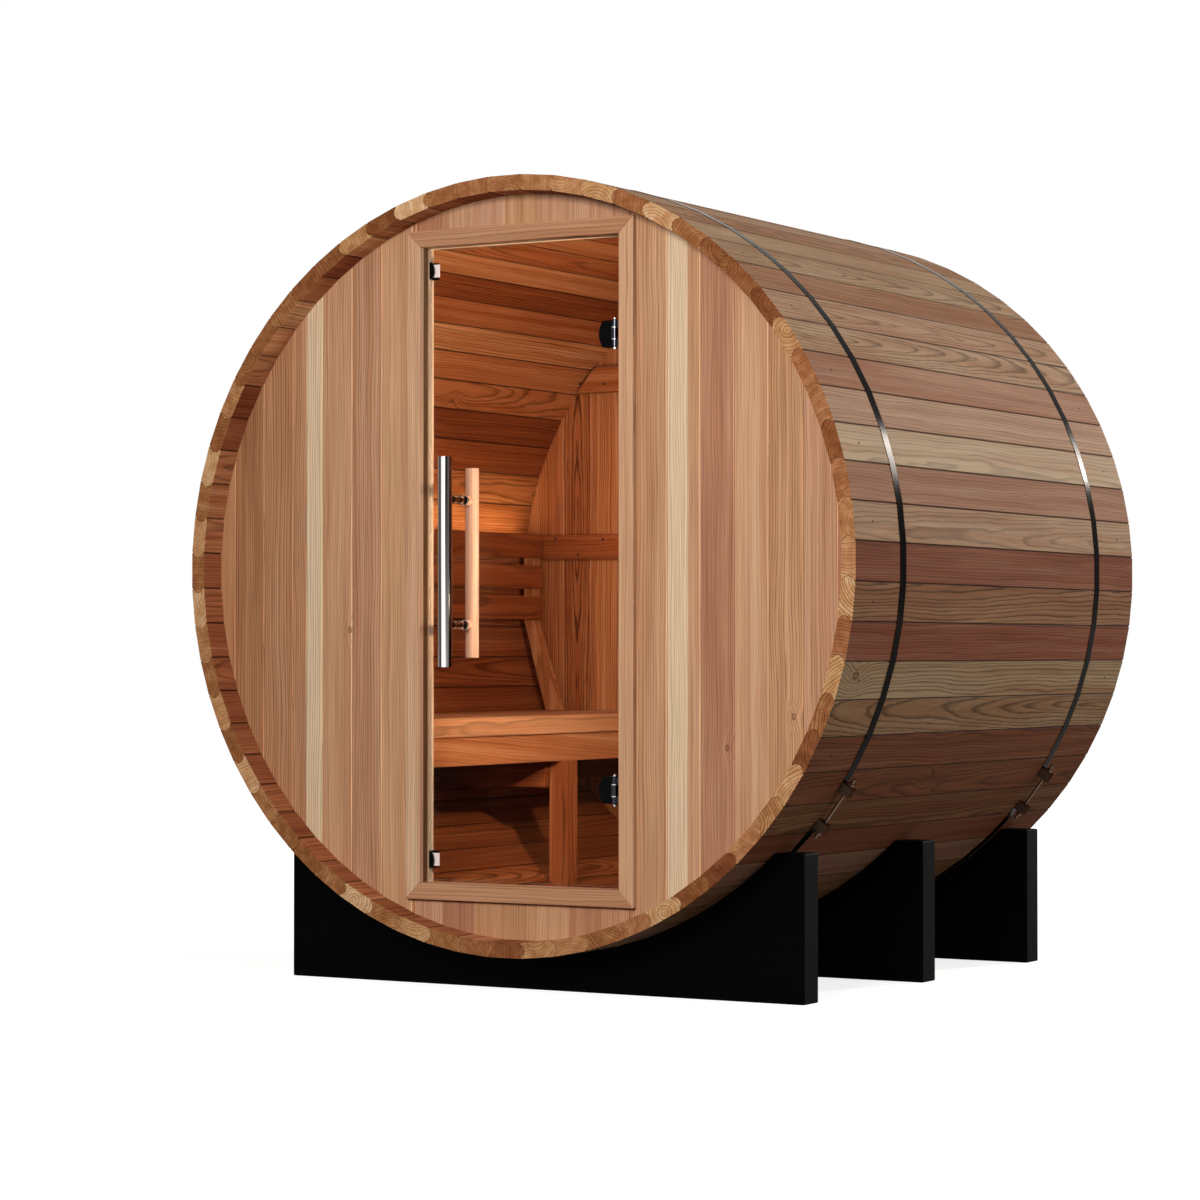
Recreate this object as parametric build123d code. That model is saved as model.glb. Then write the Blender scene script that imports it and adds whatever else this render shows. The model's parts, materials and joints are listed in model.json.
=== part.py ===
# Barrel sauna: bead-and-cove staves around two end walls, steel bands, glass door, bench, three cradles.
# X is the width, the door faces -Y, Z is up. The origin lies on the ground under the middle of the barrel.
import os
from math import asin, cos, pi, sin, sqrt, tan

from build123d import *

# Barrel of staves
barrel_length = 1580
stave_count = 64
stave_apothem = 900
stave_thickness = 36
stave_gap = 0.3
bead_width = 30
bead_height = 11
bead_clearance = 0.4
bead_flats = 4
croze_depth = 8
group_count = 8

# End walls
wall_recess = 70
wall_thickness = 45
wall_edge_gap = 0.4
wall_face_gap = 0.3
cleat_height = 68
cleat_thickness = 25
cleat_end_gap = 10
upper_cleat_share = 0.6

# Doorway
opening_width = 542
jamb_thickness = 20
casing_width = 39
casing_thickness = 15
casing_top_gap = 11
casing_bottom_gap = 26

# Glass door
glass_thickness = 8
glass_recess = 88
glass_gap = 6
hinge_side_gap = 9

# Hinges
hinge_inset = 226
hinge_edge_gap = 21
hinge_axis_offset = 12
knuckle_radius = 7
knuckle_height = 27
knuckle_gap = 0.5
pin_radius = 3
end_knuckle_height = 15
finial_radius = 4
finial_height = 5
clamp_height = 62
clamp_width = 36
clamp_bow_radius = 47
clamp_thickness = 7
leaf_thickness = 3

# Catches
catch_inset = 53
catch_height = 40
catch_width = 15
catch_clearance = 5.5
strike_width = 22
strike_height = 30
strike_thickness = 2

# Door handle
handle_inset = 96
handle_lift = 4
tube_reach = 75
bar_reach = 41
tube_radius = 17
tube_wall = 2
tube_length = 490
bar_radius = 16
bar_length = 446
post_spacing = 293
post_radius = 10
post_seat_depth = 10
post_seat_gap = 0.3
bolt_radius = 5
bolt_hole_gap = 1

# Bench
bench_depth = 452
seat_height = 506
seat_back_gap = 10
seat_thickness = 48
seat_board_count = 5
seat_board_gap = 6
seat_end_gap = 2
seat_nose_radius = 10
fascia_height = 69
fascia_thickness = 24
fascia_setback = 6
leg_width = 80
leg_thickness = 36
leg_offset = 40
bearer_thickness = 22
bearer_drop = 68

# Backrest
slat_standoff = 87
slat_thickness = 20
slat_height = 65
slat_pitch = 85
slat_count = 3
backrest_height = 485
bracket_thickness = 36
bracket_top_depth = 30
bracket_foot_gap = 20
bracket_foot_depth = 42
bracket_inset = 2
light_height = 14
light_depth = 8
light_drop = 12
light_end_gap = 5

# Bands and tensioners
band_inset = 235
band_width = 28
band_thickness = 1.2
tensioner_degrees = -37
lug_spacing = 104
lug_size = 24
lug_top = 26
lug_root = 4
rod_radius = 4
rod_reach = 84
rod_lift = 14
rod_gap = 0.4
nut_radius = 8
nut_height = 8
nut_sides = 6
band_end_tuck = 8

# Cradles
ground_clearance = 85
cradle_top_share = 0.72
cradle_end_flat = 73
cradle_thickness = 70
cradle_inset = 178
cradle_seat_gap = 0.3

# Common overrun of every cutting tool
overrun = 20

# Derived places: lengths along Y from the middle of the barrel, rises from its axis
pitch = 2 * pi / stave_count
axis_height = stave_apothem + ground_clearance
inner_apothem = stave_apothem - stave_thickness
corner_radius = stave_apothem / cos(pitch / 2)
front_y = -barrel_length / 2
back_y = barrel_length / 2
wall_front_y = front_y + wall_recess
wall_inner_y = wall_front_y + wall_thickness
rear_inner_y = back_y - wall_recess - wall_thickness
wall_radius = inner_apothem + croze_depth - wall_edge_gap
cleat_front_y = rear_inner_y - cleat_thickness


def block(x0, x1, y0, y1, z0, z1):
    """A box between six bounds, heights measured from the barrel's axis."""
    middle = Pos((x0 + x1) / 2, (y0 + y1) / 2, (z0 + z1) / 2)
    return middle * Box(x1 - x0, y1 - y0, z1 - z0)


def prism(points, y0, y1):
    """An outline of (x, z) points drawn along Y."""
    outline = make_face(Polyline(*points, close=True))
    return extrude(Plane.XZ.offset(-y1) * outline, y1 - y0)


def rod_y(x, z, radius, y0, y1):
    """A round rod along Y."""
    return Pos(x, (y0 + y1) / 2, z) * Rot(90, 0, 0) * Cylinder(radius, y1 - y0)


def rod_z(x, y, radius, z0, z1):
    """A round rod along Z."""
    return Pos(x, y, (z0 + z1) / 2) * Cylinder(radius, z1 - z0)


def many_sided(apothem, y0, y1):
    """A prism with one flat for each stave."""
    corner = apothem / cos(pitch / 2)
    points = []
    for i in range(stave_count):
        turn = (i + 1 / 2) * pitch
        points.append((corner * cos(turn), corner * sin(turn)))
    return prism(points, y0, y1)


def chord_half(radius, rise):
    """Half the width of a circle at one height."""
    return sqrt(radius ** 2 - rise ** 2)


def save(name, *solids):
    """Lift the solids from the barrel's axis to the ground frame and write one node."""
    placed = [Pos(0, 0, axis_height) * solid for solid in solids]
    shape = placed[0]
    if len(placed) > 1:
        shape = Compound(children=placed)
    export_step(shape, os.path.join("parts", name + ".step"))


os.makedirs("parts", exist_ok=True)


# Staves: a bead on one edge rolls in the cove of the next, and a croze at each end takes an end wall
def round_edge(side, half_width, height, shift):
    """The flats of a bead or cove across one radial joint, from its outer root to its inner root."""
    radius = (half_width ** 2 + height ** 2) / (2 * height)
    half_turn = asin(half_width / radius)
    points = []
    for i in range(bead_flats + 1):
        turn = half_turn * (1 - 2 * i / bead_flats)
        along = joint_middle + radius * sin(turn)
        across = shift + height - radius + radius * cos(turn)
        points.append((side * along * sin(pitch / 2) - across * cos(pitch / 2),
                       along * cos(pitch / 2) + side * across * sin(pitch / 2)))
    return points


joint_middle = (stave_apothem - stave_thickness / 2) / cos(pitch / 2)
bead = round_edge(-1, bead_width / 2, bead_height, -stave_gap / 2)
cove = round_edge(1, bead_width / 2 + bead_clearance, bead_height + bead_clearance, stave_gap / 2)
edge_back = stave_gap / (2 * cos(pitch / 2))
outer_half = stave_apothem * tan(pitch / 2) - edge_back
inner_half = inner_apothem * tan(pitch / 2) - edge_back
profile = [(-outer_half, stave_apothem), (outer_half, stave_apothem), *cove,
           (inner_half, inner_apothem), (-inner_half, inner_apothem), *reversed(bead)]
stave = prism(profile, front_y, back_y)
croze_half = outer_half + overrun
croze_floor = inner_apothem + croze_depth
for face_y in (wall_front_y, rear_inner_y):
    groove_start = face_y - wall_face_gap
    groove_end = face_y + wall_thickness + wall_face_gap
    stave -= block(-croze_half, croze_half, groove_start, groove_end, inner_apothem - overrun, croze_floor)

group_names = ("top", "upper_right", "right", "lower_right", "bottom", "lower_left", "left", "upper_left")
group_size = stave_count // group_count
for g, group_name in enumerate(group_names):
    first = g * group_size - group_size // 2
    turns = [(first + i) * 360 / stave_count for i in range(group_size)]
    save("staves_" + group_name, *[Rot(0, turn, 0) * stave for turn in turns])

# Doorway, with the corners of its casing near the staves
opening_half = opening_width / 2
casing_half = opening_half + casing_width
casing_top = chord_half(inner_apothem - casing_top_gap, casing_half)
casing_bottom = -chord_half(inner_apothem - casing_bottom_gap, casing_half)
opening_top = casing_top - casing_width
opening_bottom = casing_bottom + casing_width
rough_half = opening_half + jamb_thickness
rough_top = opening_top + jamb_thickness
rough_bottom = opening_bottom - jamb_thickness

# Front wall, split beside, over and under the doorway
disc = many_sided(wall_radius, wall_front_y, wall_inner_y)
reach = wall_radius + overrun
save("front_wall_left", disc & block(-reach, -rough_half, front_y, 0, -reach, reach))
save("front_wall_right", disc & block(rough_half, reach, front_y, 0, -reach, reach))
save("front_wall_over_door", disc & block(-rough_half, rough_half, front_y, 0, rough_top, reach))
save("front_wall_under_door", disc & block(-rough_half, rough_half, front_y, 0, -reach, rough_bottom))

# Door lining through the wall
save("jamb_left", block(-rough_half, -opening_half, wall_front_y, wall_inner_y, rough_bottom, rough_top))
save("jamb_right", block(opening_half, rough_half, wall_front_y, wall_inner_y, rough_bottom, rough_top))
save("jamb_head", block(-opening_half, opening_half, wall_front_y, wall_inner_y, opening_top, rough_top))
save("door_sill", block(-opening_half, opening_half, wall_front_y, wall_inner_y, rough_bottom,
                        opening_bottom))

# Door casing, four boards mitred at the corners
casing_front_y = wall_front_y - casing_thickness
inner_corners = [(-opening_half, opening_bottom), (opening_half, opening_bottom),
                 (opening_half, opening_top), (-opening_half, opening_top)]
outer_corners = [(-casing_half, casing_bottom), (casing_half, casing_bottom),
                 (casing_half, casing_top), (-casing_half, casing_top)]
for i, side in enumerate(("bottom", "right", "top", "left")):
    j = (i + 1) % len(inner_corners)
    board = [outer_corners[i], outer_corners[j], inner_corners[j], inner_corners[i]]
    save("casing_" + side, prism(board, casing_front_y, wall_front_y))

# Glass door with holes for the handle bolts
glass_front_y = front_y + glass_recess
glass_back_y = glass_front_y + glass_thickness
glass_middle_y = (glass_front_y + glass_back_y) / 2
handle_x = -opening_half + handle_inset
handle_rise = (opening_top + opening_bottom) / 2 + handle_lift
post_rises = (handle_rise - post_spacing / 2, handle_rise + post_spacing / 2)
glass = block(-opening_half + glass_gap, opening_half - hinge_side_gap, glass_front_y, glass_back_y,
              opening_bottom + glass_gap, opening_top - glass_gap)
for rise in post_rises:
    glass -= rod_y(handle_x, rise, bolt_radius + bolt_hole_gap, glass_front_y - overrun,
                   glass_back_y + overrun)
save("door_glass", glass)

# Outside handle: a tube closed at both ends, welded to two posts
tube_y = glass_middle_y - tube_reach
tube_low = handle_rise - tube_length / 2
tube_high = handle_rise + tube_length / 2
tube = rod_z(handle_x, tube_y, tube_radius, tube_low, tube_high)
for rise in post_rises:
    tube += rod_y(handle_x, rise, post_radius, tube_y, glass_front_y)
tube -= rod_z(handle_x, tube_y, tube_radius - tube_wall, tube_low + tube_wall, tube_high - tube_wall)
save("handle_tube", tube)

# Inside handle: a wooden bar on two posts bolted through the glass
bar_y = glass_middle_y + bar_reach
seat_y = bar_y - bar_radius + post_seat_depth
bar = rod_z(handle_x, bar_y, bar_radius, handle_rise - bar_length / 2, handle_rise + bar_length / 2)
posts = []
for rise in post_rises:
    bar -= rod_y(handle_x, rise, post_radius + post_seat_gap, glass_back_y, seat_y)
    posts.append(rod_y(handle_x, rise, post_radius, glass_back_y, seat_y)
                 + rod_y(handle_x, rise, bolt_radius, glass_front_y, glass_back_y))
save("handle_bar", bar)
save("handle_posts", *posts)

# Hinges: bowed clamps on the glass, the middle knuckle on the door, end knuckles and pin on the jamb
hinge_axis_x = opening_half - hinge_edge_gap
hinge_axis_y = glass_front_y - hinge_axis_offset
clamp_edge_x = hinge_axis_x - knuckle_radius - leaf_thickness
clamp_far_x = clamp_edge_x - clamp_width
clamps = []
door_knuckles = []
frame_knuckles = []
for rise in (opening_bottom + hinge_inset, opening_top - hinge_inset):
    low, high = rise - knuckle_height / 2, rise + knuckle_height / 2
    for y0 in (glass_front_y - clamp_thickness, glass_back_y):
        y1 = y0 + clamp_thickness
        plate = block(clamp_far_x, clamp_edge_x, y0, y1, rise - clamp_height / 2, rise + clamp_height / 2)
        clamps.append(plate & rod_y(clamp_far_x + clamp_bow_radius, rise, clamp_bow_radius, y0, y1))
    arm = block(clamp_edge_x, hinge_axis_x, hinge_axis_y, hinge_axis_y + knuckle_radius, low, high)
    knuckle = rod_z(hinge_axis_x, hinge_axis_y, knuckle_radius, low, high) + arm
    door_knuckles.append(knuckle - rod_z(hinge_axis_x, hinge_axis_y, pin_radius + knuckle_gap, low, high))

    bottom = low - knuckle_gap - end_knuckle_height
    top = high + knuckle_gap + end_knuckle_height
    leaf_x = opening_half - leaf_thickness
    frame_side = rod_z(hinge_axis_x, hinge_axis_y, pin_radius, bottom, top)
    frame_side += block(leaf_x, opening_half, hinge_axis_y - knuckle_radius, hinge_axis_y + knuckle_radius,
                        bottom, top)
    for z0 in (bottom, high + knuckle_gap):
        z1 = z0 + end_knuckle_height
        frame_side += rod_z(hinge_axis_x, hinge_axis_y, knuckle_radius, z0, z1)
        frame_side += block(hinge_axis_x, leaf_x, hinge_axis_y - pin_radius, hinge_axis_y + pin_radius,
                            z0, z1)
    for z0 in (bottom - finial_height, top):
        frame_side += rod_z(hinge_axis_x, hinge_axis_y, finial_radius, z0, z0 + finial_height)
    frame_knuckles.append(frame_side)
save("hinge_clamps", *clamps)
save("door_knuckles", *door_knuckles)
save("frame_knuckles", *frame_knuckles)

# Catches on the left jamb and their strike plates on the glass
strikes = []
catches = []
glass_edge_x = -opening_half + glass_gap
strike_back_y = glass_back_y + strike_thickness
for rise in (opening_bottom + catch_inset, opening_top - catch_inset):
    strikes.append(block(glass_edge_x, glass_edge_x + strike_width, glass_back_y, strike_back_y,
                         rise - strike_height / 2, rise + strike_height / 2))
    catches.append(block(-opening_half, -opening_half + catch_width, strike_back_y + catch_clearance,
                         wall_inner_y, rise - catch_height / 2, rise + catch_height / 2))
save("strike_plates", *strikes)
save("catch_blocks", *catches)

# Bench along the left side, trimmed to the staves
cabin = many_sided(inner_apothem, wall_inner_y, rear_inner_y)
seat_rise = seat_height - inner_apothem
seat_under = seat_rise - seat_thickness
fascia_under = seat_under - fascia_height
seat_back_x = seat_back_gap - chord_half(inner_apothem, seat_rise)
bench_front_x = seat_back_x + bench_depth
seat_start = wall_inner_y + seat_end_gap
seat_end = rear_inner_y - seat_end_gap
board_width = (bench_front_x - seat_back_x - (seat_board_count - 1) * seat_board_gap) / seat_board_count
boards = []
for i in range(seat_board_count):
    x1 = bench_front_x - i * (board_width + seat_board_gap)
    boards.append(cabin & block(x1 - board_width, x1, seat_start, seat_end, seat_under, seat_rise))
nose_edge = boards[0].edges().filter_by(Axis.Y).sort_by(Axis.X)[-2:].sort_by(Axis.Z)[-1]
boards[0] = fillet(nose_edge, seat_nose_radius)
save("bench_seat", *boards)

fascia_x = bench_front_x - fascia_setback
fascia_back_x = fascia_x - fascia_thickness
save("bench_fascia", block(fascia_back_x, fascia_x, seat_start, seat_end, fascia_under, seat_under))
leg_back_x = fascia_x - leg_thickness
leg_start = leg_offset - leg_width / 2
save("bench_leg", cabin & block(leg_back_x, fascia_x, leg_start, leg_start + leg_width,
                                -inner_apothem, fascia_under))
bearers = []
bearer_starts = (seat_start, leg_start - bearer_thickness, seat_end - bearer_thickness)
for y0 in bearer_starts:
    bearers.append(cabin & block(-inner_apothem, leg_back_x, y0, y0 + bearer_thickness,
                                 fascia_under - bearer_drop, seat_under))
save("bench_bearers", *bearers)

# Backrest slats on two shaped brackets, with a light strip behind the top slat
slat_face_x = slat_standoff - inner_apothem
slat_back_x = slat_face_x - slat_thickness
slat_top_rise = seat_rise + backrest_height
front_bracket_y = seat_start + bracket_inset
rear_bracket_y = cleat_front_y - bracket_inset - bracket_thickness
slat_end = rear_bracket_y + bracket_thickness / 2
slats = []
for i in range(slat_count):
    high = slat_top_rise - i * slat_pitch
    slats.append(block(slat_back_x, slat_face_x, seat_start, slat_end, high - slat_height, high))
save("backrest_slats", *slats)
knee = slat_top_rise - (slat_count - 1) * slat_pitch - slat_height
bracket_back_x = slat_back_x - bracket_top_depth
foot_back_x = seat_back_x + bracket_foot_gap
foot_front_x = foot_back_x + bracket_foot_depth
bracket_outline = [(slat_back_x, slat_top_rise), (slat_back_x, knee), (foot_front_x, seat_rise),
                   (foot_back_x, seat_rise), (bracket_back_x, knee), (bracket_back_x, slat_top_rise)]
save("backrest_brackets", *[cabin & prism(bracket_outline, y0, y0 + bracket_thickness)
                            for y0 in (front_bracket_y, rear_bracket_y)])
light_top = slat_top_rise - light_drop
save("light_strip", block(slat_back_x - light_depth, slat_back_x,
                          front_bracket_y + bracket_thickness + light_end_gap, rear_bracket_y - light_end_gap,
                          light_top - light_height, light_top))


# Back wall and its level cleats, the lower one in line with the top slat
save("back_wall", many_sided(wall_radius, rear_inner_y, rear_inner_y + wall_thickness))
cleat_reach = many_sided(inner_apothem - cleat_end_gap, cleat_front_y, rear_inner_y)
cleats = []
for rise in (slat_top_rise - cleat_height, upper_cleat_share * inner_apothem):
    cleats.append(cleat_reach & block(-inner_apothem, inner_apothem, cleat_front_y, rear_inner_y, rise,
                                      rise + cleat_height))
save("back_wall_cleats", *cleats)


# Steel bands, open between the lugs of their tensioners
def along_chord(shape):
    """Turn a shape drawn at the barrel's right-hand side to the tensioner's place."""
    return Rot(0, -tensioner_degrees, 0) * shape


band_apothem = stave_apothem + band_thickness
rod_x = stave_apothem + rod_lift
half_span = lug_spacing / 2
bands = []
lugs = []
rods = []
for middle_y in (front_y + band_inset, back_y - band_inset):
    y0, y1 = middle_y - band_width / 2, middle_y + band_width / 2
    backing = many_sided(band_apothem, y0 - overrun, y1 + overrun)
    ring = many_sided(band_apothem, y0, y1) - many_sided(stave_apothem, y0 - overrun, y1 + overrun)
    gap_half = half_span - lug_size / 2 + band_end_tuck
    bands.append(ring - along_chord(block(stave_apothem - overrun, stave_apothem + overrun, y0 - overrun,
                                          y1 + overrun, -gap_half, gap_half)))
    rod = rod_z(rod_x, middle_y, rod_radius, -rod_reach, rod_reach)
    bore = rod_z(rod_x, middle_y, rod_radius + rod_gap, -rod_reach, rod_reach)
    for sign in (-1, 1):
        z = sign * half_span
        lug = block(stave_apothem - lug_root, stave_apothem + lug_top, middle_y - lug_size / 2,
                    middle_y + lug_size / 2, z - lug_size / 2, z + lug_size / 2)
        lugs.append(along_chord(lug - bore) - backing)
        nut = extrude(RegularPolygon(nut_radius, nut_sides), nut_height / 2, both=True)
        rod += Pos(rod_x, middle_y, z + sign * (lug_size + nut_height) / 2) * nut
    rods.append(along_chord(rod))
save("bands", *bands)
save("band_lugs", *lugs)
save("band_rods", *rods)

# Cradles cut to the barrel
cradle_radius = corner_radius + cradle_seat_gap
cradle_top = -cradle_top_share * stave_apothem
cradle_half = chord_half(cradle_radius, cradle_top) + cradle_end_flat
seat_cut = rod_y(0, 0, cradle_radius, front_y - overrun, back_y + overrun)
cradle_places = (front_y + cradle_inset, 0, back_y - cradle_inset)
for name, middle_y in zip(("front", "middle", "back"), cradle_places):
    beam = block(-cradle_half, cradle_half, middle_y - cradle_thickness / 2, middle_y + cradle_thickness / 2,
                 -axis_height, cradle_top)
    save("cradle_" + name, beam - seat_cut)
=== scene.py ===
import json
import math
import random

import bmesh
import bpy
from mathutils import Matrix, Vector


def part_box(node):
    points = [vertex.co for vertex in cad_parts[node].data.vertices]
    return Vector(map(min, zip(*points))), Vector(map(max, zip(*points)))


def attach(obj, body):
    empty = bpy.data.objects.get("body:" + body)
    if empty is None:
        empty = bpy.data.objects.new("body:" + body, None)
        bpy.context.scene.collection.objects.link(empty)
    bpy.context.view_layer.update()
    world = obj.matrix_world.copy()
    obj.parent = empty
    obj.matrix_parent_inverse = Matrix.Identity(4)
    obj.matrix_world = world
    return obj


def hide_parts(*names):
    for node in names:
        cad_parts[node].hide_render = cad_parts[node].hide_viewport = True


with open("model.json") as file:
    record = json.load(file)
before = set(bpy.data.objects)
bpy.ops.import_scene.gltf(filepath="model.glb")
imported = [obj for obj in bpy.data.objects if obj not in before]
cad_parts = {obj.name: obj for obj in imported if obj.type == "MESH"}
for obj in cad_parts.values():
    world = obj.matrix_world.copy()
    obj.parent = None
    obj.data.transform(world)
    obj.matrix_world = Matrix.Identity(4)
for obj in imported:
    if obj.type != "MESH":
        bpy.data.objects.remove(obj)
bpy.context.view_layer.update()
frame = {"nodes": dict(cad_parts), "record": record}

# Sizes in metres, read from the frame where it holds them
MM = 0.001
stave_count = 64
wall_board_pitch = 86.5 * MM
board_gap = 0.4 * MM
boards_each_side = 12
eased_edge = 1.6 * MM
least_board = 4 * eased_edge
rounded_edge = 5 * MM
joint_chamfer = 2.2 * MM
fold_round = 1.6 * MM
end_chamfer = 1 * MM
arris = 1.2 * MM
merge_distance = 0.01 * MM
flat_limit = math.radians(1)
sharp_limit = math.radians(28)
fold_limits = (math.radians(15), math.radians(60))
end_limit = 0.9
parallel_limit = 0.999
inside_limit = 0.5
flat_facing = 0.97
chamfer_tilt = 0.2

up = Vector((0, 0, 1))
along_y = Vector((0, 1, 0))
across_x = Vector((1, 0, 0))
top_of_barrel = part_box("staves_top")[1].z
bottom_of_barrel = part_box("staves_bottom")[0].z
barrel_axis = Vector((0, 0, (top_of_barrel + bottom_of_barrel) / 2))
stave_face = (top_of_barrel - bottom_of_barrel) / 2
barrel_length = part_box("staves_top")[1].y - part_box("staves_top")[0].y
inside_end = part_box("back_wall")[0].y


# Materials
def linear(code):
    """A colour written as an sRGB hex code, as linear values."""
    values = []
    for start in (1, 3, 5):
        share = int(code[start:start + 2], 16) / 255
        values.append(share / 12.92 if share <= 0.04045 else ((share + 0.055) / 1.055) ** 2.4)
    return (*values, 1)


def add(tree, kind, inputs=(), stops=(), **settings):
    """Adds a node with its settings, and fills its inputs with values or links."""
    node = tree.nodes.new(kind)
    for key, value in settings.items():
        setattr(node, key, value)
    for key, value in dict(inputs).items():
        if isinstance(value, bpy.types.NodeSocket):
            tree.links.new(value, node.inputs[key])
        else:
            node.inputs[key].default_value = value
    if stops:
        while len(node.color_ramp.elements) < len(stops):
            node.color_ramp.elements.new(0.5)
        for element, (place, colour) in zip(node.color_ramp.elements, stops):
            element.position = place
            element.color = colour
    return node


def new_material(name):
    """An empty material with its shader joined to its output."""
    material = bpy.data.materials.new(name)
    material.use_nodes = True
    tree = material.node_tree
    tree.nodes.clear()
    shader = add(tree, "ShaderNodeBsdfPrincipled")
    add(tree, "ShaderNodeOutputMaterial", {"Surface": shader.outputs[0]})
    return material, tree, shader


def grey(share):
    return (share, share, share, 1)


ring_width = 7 * MM  # drawn about twice as wide as real rings, so that they show
spell_width = 20 * MM
fibre_width = 3 * MM
fibre_length = 220 * MM
streak_width = 22 * MM
streak_length = 900 * MM
wander_width = 120 * MM
wander_length = 420 * MM
wander_reach = 26 * MM
sap_blend = 5 * MM
wood_relief = 0.4 * MM
wood_bump = 0.4
wood_specular = 0.02
knot_stretch = (1, 0.65, 0)
knot_fall = -0.1
knot_push = 2.2
year_spread = 2
ring_ragged = 0.5
streak_spread = 0.5
early_lift = 1.06
fibre_shades = (0.8, 1.14)
fibre_gloss = (0.55, 0.8)


def red_cedar(name, tan_shades, rosy_shades, sapwood, knot_shade, brightness=1, darkest=0.42,
              end_grain=False):
    """Planed red cedar: rings cut into lines or arches, dark latewood, streaks, sapwood and knots.

    The grain attribute is a point's place in the log: across the board, through it and along it.
    The tone attribute is the board's depth of colour, its rosiness and the strength of its lines. Cut ends
    have a depth of their own, the third value of the sap attribute.
    """
    material, tree, shader = new_material(name)
    grain = add(tree, "ShaderNodeAttribute", attribute_name="grain").outputs["Vector"]
    tone = add(tree, "ShaderNodeAttribute", attribute_name="tone").outputs["Vector"]
    knot = add(tree, "ShaderNodeAttribute", attribute_name="knot").outputs["Vector"]
    sap = add(tree, "ShaderNodeAttribute", attribute_name="sap").outputs["Vector"]
    place = add(tree, "ShaderNodeSeparateXYZ", {0: grain}).outputs
    depth, rosy, strength = add(tree, "ShaderNodeSeparateXYZ", {0: tone}).outputs
    knot_across, knot_along, knot_size = add(tree, "ShaderNodeSeparateXYZ", {0: knot}).outputs
    sap_start, sap_side, end_depth = add(tree, "ShaderNodeSeparateXYZ", {0: sap}).outputs

    # Rings wander a little along the log
    wander_scale = (1 / wander_width, 1 / wander_width, 1 / wander_length)
    wander_place = add(tree, "ShaderNodeVectorMath", {0: grain, 1: wander_scale}, operation="MULTIPLY")
    wander = add(tree, "ShaderNodeTexNoise",
                 {"Vector": wander_place.outputs[0], "Scale": 1, "Detail": 2})
    centred = add(tree, "ShaderNodeVectorMath", {0: wander.outputs["Color"], 1: (0.5, 0.5, 0.5)},
                  operation="SUBTRACT")
    reach = (wander_reach, wander_reach, 0)
    shifted = add(tree, "ShaderNodeVectorMath", {0: centred.outputs[0], 1: reach, 2: grain},
                  operation="MULTIPLY_ADD")
    flat = add(tree, "ShaderNodeVectorMath", {0: shifted.outputs[0], 1: (1, 1, 0)}, operation="MULTIPLY")
    radius = add(tree, "ShaderNodeVectorMath", {0: flat.outputs[0]}, operation="LENGTH").outputs["Value"]

    # A knot pushes the rings aside and darkens towards its middle
    aside = add(tree, "ShaderNodeMath", {0: place["X"], 1: knot_across}, operation="SUBTRACT")
    beyond = add(tree, "ShaderNodeMath", {0: place["Z"], 1: knot_along}, operation="SUBTRACT")
    offset = add(tree, "ShaderNodeCombineXYZ", {0: aside.outputs[0], 1: beyond.outputs[0]})
    drawn_in = add(tree, "ShaderNodeVectorMath", {0: offset.outputs[0], 1: knot_stretch},
                   operation="MULTIPLY")
    distance = add(tree, "ShaderNodeVectorMath", {0: drawn_in.outputs[0]},
                   operation="LENGTH").outputs["Value"]
    size = add(tree, "ShaderNodeMath", {0: knot_size, 1: 0.01 * MM}, operation="MAXIMUM")
    ratio = add(tree, "ShaderNodeMath", {0: distance, 1: size.outputs[0]}, operation="DIVIDE")
    square = add(tree, "ShaderNodeMath", {0: ratio.outputs[0], 1: 2}, operation="POWER")
    fall = add(tree, "ShaderNodeMath", {0: square.outputs[0], 1: knot_fall}, operation="MULTIPLY")
    swell = add(tree, "ShaderNodeMath", {0: fall.outputs[0]}, operation="EXPONENT")
    push = add(tree, "ShaderNodeMath", {0: size.outputs[0], 1: knot_push}, operation="MULTIPLY")
    pushed = add(tree, "ShaderNodeMath", {0: swell.outputs[0], 1: push.outputs[0], 2: radius},
                 operation="MULTIPLY_ADD")
    heart = add(tree, "ShaderNodeValToRGB", {"Fac": ratio.outputs[0]},
                stops=((0.2, grey(0.3)), (0.75, grey(0.8)), (1, grey(0))))

    # Fibres and broad streaks along the board
    fibre_scale = (1 / fibre_width, 1 / fibre_width, 1 / fibre_length)
    fibre_place = add(tree, "ShaderNodeVectorMath", {0: grain, 1: fibre_scale}, operation="MULTIPLY")
    fibre = add(tree, "ShaderNodeTexNoise", {"Vector": fibre_place.outputs[0], "Scale": 1, "Detail": 3})
    streak_scale = (1 / streak_width, 1 / streak_width, 1 / streak_length)
    streak_place = add(tree, "ShaderNodeVectorMath", {0: shifted.outputs[0], 1: streak_scale},
                       operation="MULTIPLY")
    streak = add(tree, "ShaderNodeTexNoise", {"Vector": streak_place.outputs[0], "Scale": 1, "Detail": 2})

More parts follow.
